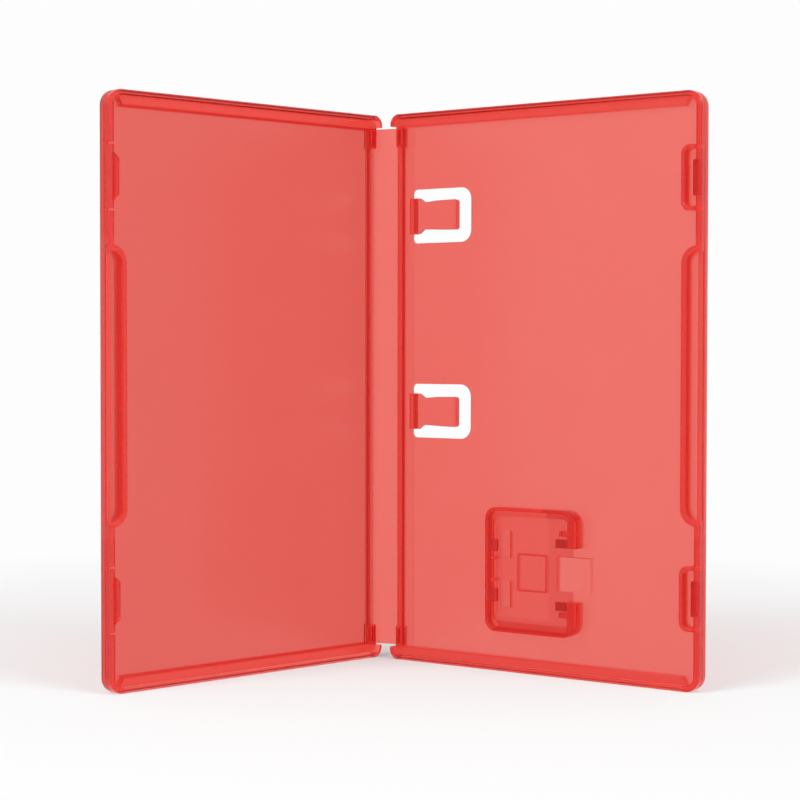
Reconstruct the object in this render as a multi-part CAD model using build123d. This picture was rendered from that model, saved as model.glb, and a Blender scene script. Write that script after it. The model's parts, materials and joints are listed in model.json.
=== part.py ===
import os
from math import radians, tan

from build123d import *

os.makedirs("parts", exist_ok=True)

# Sizes of the whole case, millimetres
height = 170.0
cover_width = 104.5
half_depth = 5.3
floor = 1.1
outer_radius = 4.5
hinge_radius = 3.0
edge_round = 1.2

# Living hinges: axes at hinge_depth below the outer faces, webs hinge_gap long each side
hinge_pitch = 10.0
hinge_depth = 0.5
hinge_gap = 0.9
web_thickness = 0.4
rear_bend = 14.0
front_bend = 64.0

# Rim: a full-height lip round the edge and a lower ledge along top and bottom
lip = 1.6
side_lip = 1.9
rim = 3.7
rim_end = -0.8
ledge = 4.1
ledge_height = 3.6
ledge_end = cover_width - 6.0
spine_clearance = 0.3

# Low wall beside each hinge with a taller hollow block at each end
front_hinge_wall = (1.3, 2.8, 3.0)
rear_hinge_wall = (0.95, 2.6, 3.7)
hinge_block = (0.95, 3.3, 4.2)
block_length = 6.5
block_wall = 0.6

# Thumb notch in the long outer wall
notch = (height * 0.287, height * 0.7335)
notch_wall = (cover_width - 6.3, cover_width - 4.6)
notch_height = 3.2

# Latches: centre heights shared by the front tabs and the rear pockets
latches = (26.5, height - 24.5)
latch_length = 18.6
slit = 0.7
bead = (13.4, 2.0)
pocket_start = cover_width - 6.5
pocket_wall = 1.2
catch = (10.2, 1.4)

# Booklet clips: centre heights, cut-out and raised tab
clips = (height * 0.458, height - 31.7)
clip_cut = (4.9, 26.4, 16.7)
tab_root = (5.1, 6.6)
tab_tip = 22.9
tab_level = (2.6, 3.6)

# Card holder and its well for a card 31 x 21 x 3.3
holder = (34.3, 65.5, 12.0, 49.5)
holder_height = 5.9
holder_wall = 0.95
holder_ledge = 2.9
well = (35.5, 61.7, 14.6, 46.8)
well_floor = 1.4
holder_break = (22.5, 38.5)
hook = (5.05, 5.8)
mark_line = 0.5


def slab(u0, u1, v0, v1, w0, w1):
    return Pos((u0 + u1) / 2, (v0 + v1) / 2, (w0 + w1) / 2) * Box(u1 - u0, v1 - v0, w1 - w0)


def rounded(u0, u1, v0, v1, left, right):
    face = Pos((u0 + u1) / 2, (v0 + v1) / 2) * Rectangle(u1 - u0, v1 - v0)
    if left:
        face = fillet(face.vertices().sort_by(Axis.X)[:2], left)
    if right:
        face = fillet(face.vertices().sort_by(Axis.X)[-2:], right)
    return face


def raised(face, w0, w1):
    return Pos(0, 0, w0) * extrude(face, w1 - w0)


def polygon(points):
    return make_face(Polyline(*points, close=True))


def rim_shell(hinge_wall):
    body = raised(rounded(rim_end, cover_width, 0, height, hinge_radius, outer_radius), 0, half_depth)
    body = fillet(body.faces().sort_by(Axis.Z)[0].edges(), edge_round)
    inside = rounded(rim_end + 1.5, cover_width - side_lip, lip, height - lip,
                     hinge_radius - 1.5, outer_radius - lip)
    body -= raised(inside, floor, half_depth + 1)
    body = chamfer(body.edges().group_by(Axis.Z)[-1], 0.35)
    body -= slab(-2, hinge_gap, rim, height - rim, -1, half_depth + 1)
    body -= slab(-2, 4, rim, height - rim, floor, half_depth + 1)

    # Ledges with a sloped end near the outer corner
    plan = polygon([(0.6, lip - 0.2), (ledge_end + 1.6, lip - 0.2), (ledge_end, ledge), (0.6, ledge)])
    bar = raised(plan, floor - 0.2, ledge_height)
    bar = chamfer(bar.edges().group_by(Axis.Z)[-1].sort_by(Axis.Y)[-1], 0.4)
    body += bar + Pos(0, height, 0) * mirror(bar, Plane.XZ)

    # Hinge wall and end blocks
    u0, u1, top = hinge_wall
    wall = slab(u0, u1, rim - 0.2, height - rim + 0.2, floor - 0.2, top)
    wall = chamfer(wall.edges().filter_by(Axis.Y).group_by(Axis.Z)[-1], 0.35)
    u0, u1, top = hinge_block
    block = slab(u0, u1, rim - 0.2, rim + block_length, floor - 0.2, top)
    block = chamfer(block.edges().group_by(Axis.Z)[-1].sort_by(Axis.Y)[-1], 0.4)
    hollow = slab(u0 + block_wall, u1 - block_wall, ledge + block_wall,
                  rim + block_length - block_wall, 2.2, top + 1)
    body += wall + block + Pos(0, height, 0) * mirror(block, Plane.XZ)
    body -= hollow + Pos(0, height, 0) * mirror(hollow, Plane.XZ)

    # Finger groove round the outer edge
    ring = rounded(60, cover_width + 1, -1, height + 1, 0, outer_radius + 1)
    ring -= rounded(40, cover_width - 0.35, 0.35, height - 0.35, 0, outer_radius - 0.35)
    body -= raised(ring, 2.5, 3.1) & slab(cover_width - 6, cover_width + 2, -2, height + 2, 2, 4)

    # Thumb notch: the lip drops and a wall runs round inside it
    v0, v1 = notch
    n0, n1 = notch_wall
    far = cover_width + 20
    body -= slab(n1, cover_width + 2, v0, v1, notch_height, half_depth + 1)
    wall = rounded(n0, far, v0 - n1 + n0, v1 + n1 - n0, 5.0, 0) - rounded(n1, far, v0, v1, 3.4, 0)
    wall = raised(wall, floor - 0.2, half_depth)
    wall = chamfer(wall.edges().group_by(Axis.Z)[-1], 0.35)
    body += wall & slab(n0 - 1, cover_width - 0.6, 0, height, 0, half_depth)
    return body


def front_cover():
    body = rim_shell(front_hinge_wall)
    inner = cover_width - side_lip
    length, reach = bead
    for centre in latches:
        for side in (-0.5, 0.5):
            edge = centre + side * latch_length
            body -= slab(inner - 0.4, cover_width + 1, edge - slit / 2, edge + slit / 2, 2.2, half_depth + 1)
        half = length / 2
        plan = polygon([
            (inner + 0.5, centre - half), (inner, centre - half), (inner - reach, centre - half + 1.6),
            (inner - reach, centre + half - 1.6), (inner, centre + half), (inner + 0.5, centre + half),
        ])
        nose = raised(plan, 3.3, half_depth - 0.2)
        body += fillet(nose.edges().filter_by(Axis.Y), 0.5)
    return body


def clip_cut_out(centre):
    u0, u1, width = clip_cut
    half = width / 2
    cut = rounded(u0, u1, centre - half, centre + half, 1.5, 3.6)
    root = polygon([
        (u0 - 1, centre - 5.2), (u0 + 1.6, centre - 5.2), (u0 + 1.6, centre + 5.2), (u0 - 1, centre + 5.2),
    ])
    return raised(cut - root, -1, floor + 1)


def clip_tab(centre):
    low, high = tab_level
    r0, r1 = tab_root
    side = make_face(Polyline(
        (r0, 0.0, 0.0), (r1, 0.0, 0.0), (r1, 0.0, low), (tab_tip - 2.4, 0.0, low),
        (tab_tip - 1.6, 0.0, low - 0.5), (tab_tip, 0.0, low - 0.5), (tab_tip, 0.0, high), (r0, 0.0, high),
        close=True))
    strip = Pos(0, centre, 0) * extrude(side, 7, both=True)
    strip = fillet(strip.edges().filter_by(Axis.Y).group_by(Axis.Z)[-1].sort_by(Axis.X)[0], 1.0)
    neck = [
        (r0 - 1, -5.6), (9.0, -5.6), (10.8, -4.3), (14.0, -4.4), (18.0, -4.6), (tab_tip, -4.7),
        (tab_tip, 4.6), (16.0, 4.5), (11.2, 4.1), (9.2, 5.4), (r0 - 1, 5.4),
    ]
    plan = polygon([(u, centre + v) for u, v in neck])
    plan = fillet(plan.vertices().sort_by(Axis.X)[-2:], 0.9)
    return strip & raised(plan, -1, high + 1)


def card_holder():
    u0, u1, v0, v1 = holder
    w0, w1, z0, z1 = well
    outer = rounded(u0, u1, v0, v1, 3.6, 4.6)
    ring = raised(outer - rounded(w0, w1, z0, z1, 2.2, 2.6), floor - 0.2, holder_height)
    seat = raised(rounded(w0 - 0.3, w1 + 0.3, z0 - 0.3, z1 + 0.3, 2.2, 2.6), floor - 0.2, well_floor)

    # Thin outer wall, a low ledge inside it above and below, and a step in the thick right side
    inner = rounded(u0 + holder_wall, w1 + 0.6, v0 + holder_wall, v1 - holder_wall, 2.6, 2.0)
    ring -= raised(inner, holder_ledge, holder_height + 1)
    ring -= raised(rounded(w1 - 6, u1 - holder_wall, v0 + holder_wall, v1 - holder_wall, 0, 3.6),
                   hook[0] + 0.2, holder_height + 1)
    low, high = holder_break
    ring -= slab(w1 - 1, u1 + 1, low, high, floor, holder_height + 1)
    ring = chamfer(ring.edges().group_by(Axis.Z)[-1], 0.3)
    body = ring + seat

    # Hooks over the card's long edges and small stops beside the break
    hooks = [(u0 + 0.4, w0 + 3.2, 21.1, 25.1), (u0 + 0.4, w0 + 3.2, 36.3, 39.9),
             (w1 - 3.0, u1 - 0.4, low - 2.6, low), (w1 - 3.0, u1 - 0.4, high, high + 2.6)]
    for h0, h1, a, b in hooks:
        body += slab(h0, h1, a, b, *hook)
    for a, b in ((17.6, 19.2), (41.8, 43.4)):
        body += slab(w1 - 2.6, w1 + 0.4, a, b, floor - 0.2, hook[0] - 0.6)

    # Fine ribs on the hinge side and a low step along its foot
    for v in (27.4, 34.0):
        body += slab(u0 + 0.4, w0 + 1.7, v - 0.3, v + 0.3, floor - 0.2, holder_height - 1.6)
    body += slab(w0 - 0.4, w0 + 0.8, z0 + 2.4, z1 - 2.4, floor - 0.2, well_floor + 0.6)
    return body


def rear_tray():
    body = rim_shell(rear_hinge_wall)
    inner = cover_width - side_lip

    # Latch pockets with a catch on the outer wall
    length, reach = catch
    for centre in latches:
        half = latch_length / 2
        far = cover_width + 20
        wall = rounded(pocket_start, far, centre - half, centre + half, 2.6, 0)
        wall -= rounded(pocket_start + pocket_wall, far, centre - half + pocket_wall,
                        centre + half - pocket_wall, 1.4, 0)
        wall = raised(wall, floor - 0.2, half_depth)
        wall = chamfer(wall.edges().group_by(Axis.Z)[-1], 0.35)
        body += wall & slab(pocket_start - 1, cover_width - 0.6, 0, height, 0, half_depth)
        nose = slab(inner - reach, inner + 0.5, centre - length / 2, centre + length / 2, 2.0, 3.9)
        body += fillet(nose.edges().filter_by(Axis.Z), 0.4)

    # Slightly thicker floor beside the hinge wall
    body += slab(rear_hinge_wall[0], 5.6, rim - 0.2, height - rim + 0.2, floor - 0.2, floor + 0.2)
    for centre in clips:
        body -= clip_cut_out(centre)
        body += clip_tab(centre)
    body += card_holder()

    # Marks in the floor of the holder, pits under its hooks and the finger ramp beside it
    square = rounded(43.2, 53.4, 24.2, 35.6, 0.8, 0.8)
    square -= rounded(43.2 + mark_line, 53.4 - mark_line, 24.2 + mark_line, 35.6 - mark_line, 0.3, 0.3)
    body += raised(square, floor - 0.2, well_floor + 0.3)
    for a, b in ((18.8, 26.9), (33.9, 42.2)):
        pit = make_face(Polyline((37.2, 0.0, floor - 0.4), (40.1, 0.0, floor - 0.4), (41.0, 0.0, well_floor),
                                 (37.2, 0.0, well_floor), close=True))
        body -= Pos(0, (a + b) / 2, 0.0) * extrude(pit, (b - a) / 2, both=True)
    ramp = make_face(Polyline((57.5, 0.0, floor - 0.2), (61.0, 0.0, floor - 0.2), (68.1, 0.0, floor),
                              (68.1, 0.0, well_floor + 0.5), (56.8, 0.0, well_floor + 0.5), close=True))
    body -= Pos(0, 30.3, 0.0) * extrude(ramp, 5.2, both=True)
    return body


def spine_plate():
    end = rim + spine_clearance
    plate = slab(-hinge_pitch + hinge_gap, -hinge_gap, end, height - end, 0, floor)
    return fillet(plate.edges().filter_by(Axis.Y), 0.3)


def hinge_strip(bend):
    # Arc tangent to both plates, hinge_gap from the axis at each end, drawn in the flat plate's frame
    radius = hinge_gap / tan(radians(bend / 2))
    end = rim + spine_clearance
    section = Rectangle(web_thickness, height - 2 * end)
    start = Plane(origin=(hinge_gap, height / 2, hinge_depth), x_dir=(0, 0, 1), z_dir=(-1, 0, 0))
    axis = Axis((hinge_gap, 0, hinge_depth + radius), (0, 1, 0))
    return revolve(start * section, axis, bend)


# Fold the flat moulding about its hinge axes, then stand it up
rear_axis = Pos(0, 0, hinge_depth)
front_axis = Pos(-hinge_pitch, 0, hinge_depth)
lift_spine = rear_axis * Rot(0, rear_bend, 0) * rear_axis.inverse()
lift_cover = lift_spine * front_axis * Rot(0, front_bend, 0) * front_axis.inverse()
flat_cover = Pos(-hinge_pitch, 0, 0) * mirror(front_cover(), Plane.YZ)

nodes = {
    "front_cover": lift_cover * flat_cover,
    "spine": lift_spine * spine_plate(),
    "rear_tray": rear_tray(),
    "front_hinge_web": lift_spine * Pos(-hinge_pitch, 0, 0) * hinge_strip(front_bend),
    "rear_hinge_web": hinge_strip(rear_bend),
}
stand = Rot(90, 0, 0)
nodes = {name: stand * shape for name, shape in nodes.items()}
boxes = [shape.bounding_box() for shape in nodes.values()]
low = [min(tuple(b.min)[i] for b in boxes) for i in range(3)]
high = [max(tuple(b.max)[i] for b in boxes) for i in range(3)]
shift = (-(low[0] + high[0]) / 2, -(low[1] + high[1]) / 2, -low[2])
for name, shape in nodes.items():
    placed = Pos(*shift) * shape
    placed.label = name
    export_step(placed, f"parts/{name}.step")
    size = placed.bounding_box()
    print(name, "volume %.0f" % placed.volume, "solids", len(placed.solids()), "valid", placed.is_valid,
          [round(v, 2) for v in (*size.min, *size.max)])
print("shift", [round(v, 4) for v in shift])
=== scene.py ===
import json
import math

import bpy
from mathutils import Matrix, Vector


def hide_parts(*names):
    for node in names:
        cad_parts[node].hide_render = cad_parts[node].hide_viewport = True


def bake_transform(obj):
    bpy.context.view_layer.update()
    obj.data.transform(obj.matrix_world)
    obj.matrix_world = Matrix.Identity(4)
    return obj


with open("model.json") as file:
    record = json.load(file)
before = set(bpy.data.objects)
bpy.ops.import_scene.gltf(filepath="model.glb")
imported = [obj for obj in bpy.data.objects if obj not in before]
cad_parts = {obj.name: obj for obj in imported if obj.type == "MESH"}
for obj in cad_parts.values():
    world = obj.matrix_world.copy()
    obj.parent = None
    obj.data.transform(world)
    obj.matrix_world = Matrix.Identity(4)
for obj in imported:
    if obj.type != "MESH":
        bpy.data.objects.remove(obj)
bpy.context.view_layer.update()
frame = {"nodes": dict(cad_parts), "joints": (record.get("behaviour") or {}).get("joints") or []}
print("frame loaded:", sorted(frame["nodes"]))

# where the hinge axes run, metres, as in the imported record, and how far each is bent, degrees
joints = {joint["name"]: joint for joint in frame["joints"]}
rearAxis = Vector(joints["rear_hinge"]["pos_m"])
frontAxis = Vector(joints["front_hinge"]["pos_m"])
rearBend, frontBend = 14.0, 64.0
foldAngle = rearBend + frontBend
axisDepth = 0.0005  # from the outer faces in to the axes


def turned(degrees):
    return Matrix.Rotation(math.radians(degrees), 3, "Z")


# floor point below a plate's outer face, level with its hinge axis
def footOf(axis, degrees):
    foot = axis + turned(degrees) @ Vector((0.0, axisDepth, 0.0))
    return Vector((foot.x, foot.y, 0.0))


trayFoot = footOf(rearAxis, 0.0)
spineFoot = footOf(rearAxis, rearBend)
frontFoot = footOf(frontAxis, foldAngle)


class Wire:
    def __init__(self, bench, socket):
        self.bench, self.socket = bench, socket

    def math(self, operation, first, second):
        return self.bench.node("ShaderNodeMath", {"operation": operation}, {0: first, 1: second})

    def __add__(self, other):
        return self.math("ADD", self, other)

    def __radd__(self, other):
        return self.math("ADD", other, self)

    def __sub__(self, other):
        return self.math("SUBTRACT", self, other)

    def __rsub__(self, other):
        return self.math("SUBTRACT", other, self)

    def __mul__(self, other):
        return self.math("MULTIPLY", self, other)

    def __rmul__(self, other):
        return self.math("MULTIPLY", other, self)

    def least(self, other):
        return self.math("MINIMUM", self, other)

    def most(self, other):
        return self.math("MAXIMUM", self, other)

    # another output of the same node
    def beside(self, output):
        return Wire(self.bench, self.socket.node.outputs[output])


class Bench:
    def __init__(self, tree):
        self.tree = tree
        tree.nodes.clear()

    def node(self, kind, settings=None, sockets=None, out=0):
        made = self.tree.nodes.new(kind)
        for key, value in (settings or {}).items():
            setattr(made, key, value)
        for key, value in (sockets or {}).items():
            if isinstance(value, Wire):
                self.tree.links.new(value.socket, made.inputs[key])
            else:
                made.inputs[key].default_value = value
        return Wire(self, made.outputs[out]) if made.outputs else made


def newMaterial(name):
    material = bpy.data.materials.new(name)
    material.use_nodes = True
    return material, Bench(material.node_tree)


def dress(piece, material):
    piece.data.materials.clear()
    piece.data.materials.append(material)


def deselectAll():
    if bpy.context.object and bpy.context.object.mode != "OBJECT":
        bpy.ops.object.mode_set(mode="OBJECT")
    bpy.ops.object.select_all(action="DESELECT")


def mixTint(bench, share, first, second):
    return bench.node("ShaderNodeMix", {"data_type": "RGBA"}, {"Factor": share, "A": first, "B": second}, out=2)


# 1 from low to high, 0 elsewhere
def between(bench, value, low, high):
    return bench.node("ShaderNodeMath", {"operation": "COMPARE"},
                      {0: value, 1: (low + high) / 2, 2: (high - low) / 2})


# 1 inside any of the boxes (low across, high across, foot, head), metres in the half's flat frame
def joinBoxes(bench, across, tall, boxes):
    inside = 0.0 * across
    for low, high, foot, head in boxes:
        inside = inside.most(between(bench, across, low, high) * between(bench, tall, foot, head))
    return inside


clearRed = {
    "tint": (0.885, 0.240, 0.210, 1.0), "tintDeep": (0.875, 0.226, 0.196, 1.0),
    "rimTint": (0.825, 0.155, 0.132, 1.0),  # rims and walls, which stand above the panel
    "deepTint": (0.84, 0.165, 0.142, 1.0),  # card seat
    "paintedShadeWallTint": (0.66, 0.050, 0.042, 1.0),  # painted shade: the card holder's thick walls drawn dark
    "paintedShadeLineTint": (0.78, 0.050, 0.042, 1.0),  # painted shade: dark lines where ledges and walls meet the panel
    "tabShare": 0.35,  # how far the clip tabs go towards the card seat's tint
    "panelTop": 0.0011, "rimFrom": 0.0019,  # heights above the outer face
    "absorbColour": (0.995, 0.10, 0.01, 1.0), "absorbDensity": 340.0,
    "clear": 0.94, "ior": 1.27, "panelRough": 0.20, "rimRough": 0.14,
    "coat": 0.2, "coatRough": 0.3, "coatIor": 1.5,
    "grainScale": 2600.0, "grainDetail": 2.0, "grainRough": 0.10,
    "waveScale": 60.0, "waveDetail": 3.0, "waveRough": 0.05, "waveRelief": 0.6,
    "bumpStrength": 0.03, "bumpDistance": 0.0001,
    "deep": [], "tabs": [], "plain": [], "walls": [], "paintedShadeLines": [], "hollow": [],
}
rearLook = dict(
    clearRed,
    deep=[(0.0352, 0.0620, 0.0143, 0.0471)],
    tabs=[(0.0064, 0.0232, 0.0722, 0.0836), (0.0064, 0.0232, 0.1326, 0.1440)],
    plain=[(0.0568, 0.0681, 0.0251, 0.0355)],  # finger ramp
    # painted shade: card holder walls, whose tops are drawn dark
    walls=[(0.0540, 0.0650, 0.0115, 0.0500), (0.0370, 0.0540, 0.0115, 0.0160)],
    # painted shade: narrow dark bands along the tray's edges, creases and the square mark
    paintedShadeLines=[
        (0.1023, 0.1033, 0.0041, 0.0440), (0.1023, 0.1033, 0.1290, 0.1659),  # outer rim
        (0.0009, 0.0013, 0.0037, 0.1663),  # hinge wall
        (0.1011, 0.1023, 0.0214, 0.0316), (0.1011, 0.1023, 0.1404, 0.1506),  # latch catches
        (0.0432, 0.0534, 0.0242, 0.0356),  # square mark
        (0.0403, 0.0410, 0.0188, 0.0269), (0.0403, 0.0410, 0.0339, 0.0422),  # pits under the hooks
        (0.0566, 0.0572, 0.0251, 0.0355), (0.0679, 0.0681, 0.0251, 0.0355),  # ends of the finger ramp
        (0.0572, 0.0681, 0.0353, 0.0355),  # top of the finger ramp
        (0.0225, 0.0232, 0.0722, 0.0836), (0.0225, 0.0232, 0.1326, 0.1440),  # ends of the clip tabs
    ],
    hollow=[(0.0437, 0.0529, 0.0247, 0.0351)],  # inside of the square mark
)
frontLookPaintedShade = dict(
    clearRed,
    # painted shade: the front cover's panel tint is darker than the tray's, standing in for the shade on that
    # cover
    tint=(0.825, 0.195, 0.168, 1.0), tintDeep=(0.815, 0.183, 0.156, 1.0), rimTint=(0.93, 0.26, 0.225, 1.0),
    # painted shade: narrow dark bands along the cover's ledges, rim and hinge wall
    paintedShadeLines=[
        (-0.0985, -0.0010, 0.16555, 0.1660), (-0.0985, -0.0010, 0.0040, 0.00445),  # ledges
        (-0.1033, -0.1023, 0.0041, 0.0440), (-0.1033, -0.1023, 0.1290, 0.1659),  # outer rim
        (-0.0016, -0.0012, 0.0037, 0.1663),  # hinge wall
    ],
)
# painted light: the spine's tint is lighter than the tray's, making up for the lesser light on the spine
spineLookPaintedLight = dict(clearRed, tint=(0.92, 0.250, 0.220, 1.0), tintDeep=(0.91, 0.236, 0.206, 1.0))
hingeLook = dict(clearRed, absorbDensity=800.0)  # stressed strips look as deep as the plates


# red clear plastic: satin panels, glossier rims; turn and foot give each half's own flat frame
def makeRed(name, look, turn, foot):
    material, bench = newMaterial(name)
    place = bench.node("ShaderNodeTexCoord", out="Object")
    flat = bench.node("ShaderNodeMapping", {"vector_type": "TEXTURE"},
                      {"Vector": place, "Location": foot, "Rotation": (0.0, 0.0, math.radians(turn))})
    across = bench.node("ShaderNodeSeparateXYZ", None, {"Vector": flat}, out="X")
    depth, tall = across.beside("Y"), across.beside("Z")  # inside is towards -Y

    def boxes(kind):
        return joinBoxes(bench, across, tall, look[kind])

    above = bench.node("ShaderNodeMapRange", None,
                       {"Value": 0 - depth, "From Min": look["panelTop"], "From Max": look["rimFrom"],
                        "To Min": 0.0, "To Max": 1.0})
    wave = bench.node("ShaderNodeTexNoise", None,
                      {"Vector": place, "Scale": look["waveScale"], "Detail": look["waveDetail"]})
    grain = bench.node("ShaderNodeTexNoise", None,
                       {"Vector": place, "Scale": look["grainScale"], "Detail": look["grainDetail"]})
    tabs = boxes("tabs")
    tint = mixTint(bench, wave, look["tint"], look["tintDeep"])
    tint = mixTint(bench, above * (1 - tabs), tint, look["rimTint"])
    gloss = above
    if look["deep"]:
        seat = (boxes("deep") * (1 - boxes("plain"))).most(tabs * look["tabShare"])
        tint = mixTint(bench, seat, tint, look["deepTint"])
        # painted shade: darkens the tops of the card holder walls
        tint = mixTint(bench, above * boxes("walls"), tint, look["paintedShadeWallTint"])
        gloss = above.most(seat)
    # painted shade: dark lines along edges and creases, left out inside the square mark
    tint = mixTint(bench, boxes("paintedShadeLines") * (1 - boxes("hollow")), tint, look["paintedShadeLineTint"])
    satin = look["panelRough"] + (grain - 0.5) * look["grainRough"] + (wave - 0.5) * look["waveRough"]
    rough = satin * (1 - gloss) + look["rimRough"] * gloss
    relief = grain * (1 - gloss) + wave * look["waveRelief"]
    normal = bench.node("ShaderNodeBump", None,
                        {"Strength": look["bumpStrength"], "Distance": look["bumpDistance"], "Height": relief})
    surface = bench.node("ShaderNodeBsdfPrincipled", None, {
        "Base Color": tint, "Roughness": rough, "IOR": look["ior"],
        "Transmission Weight": look["clear"], "Normal": normal,
        "Coat Weight": look["coat"], "Coat Roughness": look["coatRough"], "Coat IOR": look["coatIor"]})
    volume = bench.node("ShaderNodeVolumeAbsorption", None,
                        {"Color": look["absorbColour"], "Density": look["absorbDensity"]})
    bench.node("ShaderNodeOutputMaterial", None, {"Surface": surface, "Volume": volume})
    return material


print("materials")
rearRed = makeRed("clearRedRear", rearLook, 0.0, trayFoot)
frontRedPaintedShade = makeRed("clearRedFrontPaintedShade", frontLookPaintedShade, foldAngle, frontFoot)
spineRedPaintedLight = makeRed("clearRedSpinePaintedLight", spineLookPaintedLight, rearBend, spineFoot)
stripRed = makeRed("clearRedHinge", hingeLook, rearBend, spineFoot)
dress(frame["nodes"]["rear_tray"], rearRed)
dress(frame["nodes"]["front_cover"], frontRedPaintedShade)
dress(frame["nodes"]["spine"], spineRedPaintedLight)
for node in ("front_hinge_web", "rear_hinge_web"):
    dress(frame["nodes"][node], stripRed)

# reach: from the axis to each plate's edge; low and high: the strip's ends, metres
hingeStrip = {
    "thickness": 0.0004, "reach": 0.0009, "low": 0.004, "high": 0.166, "steps": 14,
    "weld": 1e-6, "smoothAngle": 30.0,
}


# thin strip spun from one plate's edge to the next about the bend's own centre
def makeStrip(name, axis, flatTurn, bend, spec, material):
    deselectAll()
    radius = spec["reach"] / math.tan(math.radians(bend / 2))
    start = axis + turned(flatTurn) @ Vector((spec["reach"], 0.0, 0.0))
    centre = start + turned(flatTurn) @ Vector((0.0, -radius, 0.0))
    bpy.ops.mesh.primitive_plane_add(size=1.0, location=(0.0, 0.0, 0.0))
    strip = bpy.context.object
    strip.name = name
    strip.data.name = name
    strip.scale = (spec["high"] - spec["low"], spec["thickness"], 1.0)
    strip.rotation_euler = (0.0, math.radians(90.0), math.radians(flatTurn))  # stands on end
    strip.location = (start.x, start.y, (spec["high"] + spec["low"]) / 2)
    bpy.ops.object.transform_apply(location=True, rotation=True, scale=True)
    bpy.ops.object.mode_set(mode="EDIT")
    bpy.ops.mesh.select_all(action="SELECT")
    bpy.ops.mesh.spin(steps=spec["steps"], angle=-math.radians(bend),
                      center=(centre.x, centre.y, 0.0), axis=(0.0, 0.0, 1.0))
    bpy.ops.mesh.select_all(action="SELECT")
    bpy.ops.mesh.remove_doubles(threshold=spec["weld"])
    bpy.ops.mesh.normals_make_consistent(inside=False)
    bpy.ops.object.mode_set(mode="OBJECT")
    bpy.ops.object.shade_smooth_by_angle(angle=math.radians(spec["smoothAngle"]))
    dress(strip, material)
    return strip


print("hinge strips")
rearStrip = makeStrip("rearHingeStrip", rearAxis, 0.0, rearBend, hingeStrip, stripRed)
frontStrip = makeStrip("frontHingeStrip", frontAxis, rearBend, frontBend, hingeStrip, stripRed)
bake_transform(rearStrip)
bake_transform(frontStrip)
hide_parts("rear_hinge_web")
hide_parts("front_hinge_web")


# camera rays, mirrored or refracted rays, and 1 for rays that no matt surface has scattered
def sightRays(bench):
    cameraRays = bench.node("ShaderNodeLightPath", out="Is Camera Ray")
    carriedRays = cameraRays.beside("Is Glossy Ray").most(cameraRays.beside("Is Transmission Ray"))
    firstHand = 1 - cameraRays.beside("Diffuse Depth").least(1.0)
    return cameraRays, carriedRays, firstHand


# pale floor, white far from the case; glow: its share of white beside the hinge and seen through the plastic
floorLook = {
    "size": 8.0, "colour": (0.95, 0.95, 0.95, 1.0),
    "glow": 0.18, "glowThrough": 0.95, "whiteFrom": 0.01, "whiteTo": 0.34, "white": 0.985,
}
print("floor and light")
deselectAll()
bpy.ops.mesh.primitive_plane_add(size=floorLook["size"], location=(0.0, 0.0, 0.0))
floor = bpy.context.object
floor.name = "paleFloor"
floorMaterial, bench = newMaterial("paleFloor")
place = bench.node("ShaderNodeTexCoord", out="Object")
distance = bench.node("ShaderNodeVectorMath", {"operation": "DISTANCE"}, {0: place, 1: trayFoot}, out="Value")
far = bench.node("ShaderNodeMapRange", None,
                 {"Value": distance, "From Min": floorLook["whiteFrom"], "From Max": floorLook["whiteTo"],
                  "To Min": floorLook["glow"], "To Max": 1.0})
paint = bench.node("ShaderNodeBsdfDiffuse", None, {"Color": floorLook["colour"]})
glow = bench.node("ShaderNodeEmission", None, {"Color": (1.0, 1.0, 1.0, 1.0), "Strength": floorLook["white"]})
cameraRays, carriedRays, firstHand = sightRays(bench)
seen = (cameraRays * far).most(carriedRays * far.most(floorLook["glowThrough"])) * firstHand
mixed = bench.node("ShaderNodeMixShader", None, {0: seen, 1: paint, 2: glow})
bench.node("ShaderNodeOutputMaterial", None, {"Surface": mixed})
dress(floor, floorMaterial)

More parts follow.
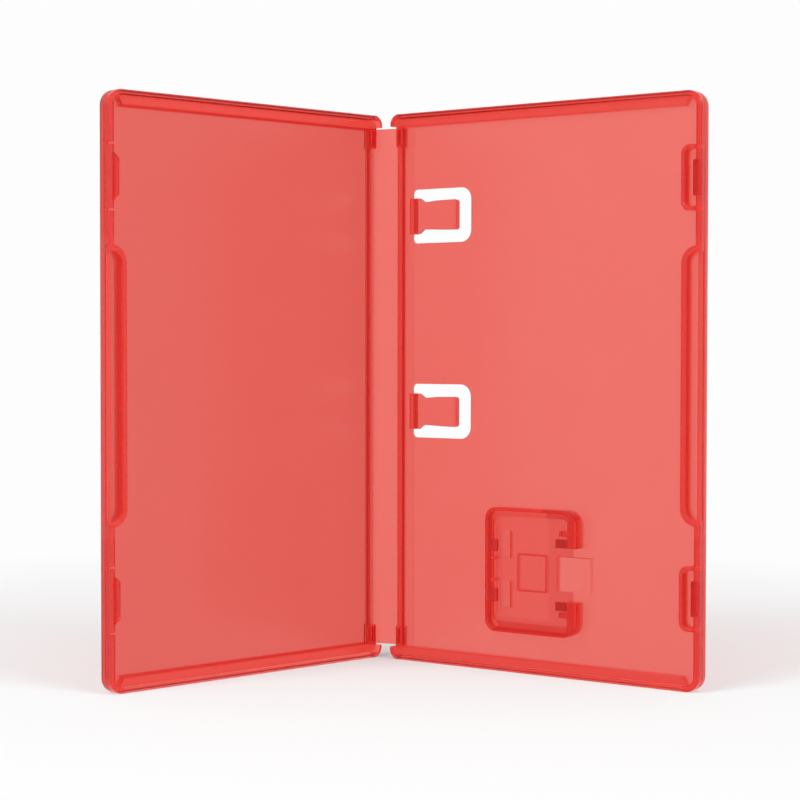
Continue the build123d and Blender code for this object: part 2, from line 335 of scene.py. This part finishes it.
# white sky for those rays, dim for the light it gives; soft lamps aimed at the case
studio = {
    "skyDiffuse": 0.25, "white": 0.985, "aim": (0.0, 0.0, 0.08),
    "lamps": [
        {"name": "leftSoft", "place": (-0.25, -1.18, 0.95), "size": 0.8, "power": 15.4},
        {"name": "rightSoft", "place": (1.2, -0.1, 0.95), "size": 0.8, "power": 11.4},
        {"name": "topFill", "place": (0.0, 0.1, 1.5), "size": 1.4, "power": 2.0},
    ],
}
world = bpy.data.worlds.new("studio")
bpy.context.scene.world = world
world.use_nodes = True
bench = Bench(world.node_tree)
cameraRays, carriedRays, firstHand = sightRays(bench)
seen = cameraRays.most(carriedRays) * firstHand
strength = studio["skyDiffuse"] + seen * (studio["white"] - studio["skyDiffuse"])
sky = bench.node("ShaderNodeBackground", None, {"Color": (1.0, 1.0, 1.0, 1.0), "Strength": strength})
bench.node("ShaderNodeOutputWorld", None, {"Surface": sky})

for lamp in studio["lamps"]:
    deselectAll()
    bpy.ops.object.light_add(type="AREA", location=lamp["place"])
    light = bpy.context.object
    light.name = lamp["name"]
    light.data.shape = "DISK"
    light.data.size = lamp["size"]
    light.data.energy = lamp["power"]
    sight = Vector(studio["aim"]) - Vector(lamp["place"])
    light.rotation_euler = sight.to_track_quat("-Z", "Y").to_euler()

# camera at the photo's place and angle
cameraView = {
    "place": (0.343667, -0.513978, 0.098687),  # from the tray's hinge corner
    "yaw": 36.597, "pitch": 1.638,  # degrees, pitch downwards
    "focalPixels": 1963.8, "imagePixels": 800,
    "shift": 0.12, "sensor": 36.0, "near": 0.01, "far": 50.0,
}
print("camera")
deselectAll()
bpy.ops.object.camera_add(location=trayFoot + Vector(cameraView["place"]))
camera = bpy.context.object
camera.name = "photoCamera"
camera.rotation_euler = (math.radians(90.0 - cameraView["pitch"]), 0.0, math.radians(cameraView["yaw"]))
camera.data.sensor_fit = "HORIZONTAL"
camera.data.sensor_width = cameraView["sensor"]
camera.data.lens = cameraView["focalPixels"] / cameraView["imagePixels"] * cameraView["sensor"]
camera.data.shift_x = cameraView["shift"]
camera.data.clip_start, camera.data.clip_end = cameraView["near"], cameraView["far"]
bpy.context.scene.camera = camera
bpy.context.scene.view_settings.view_transform = "Standard"
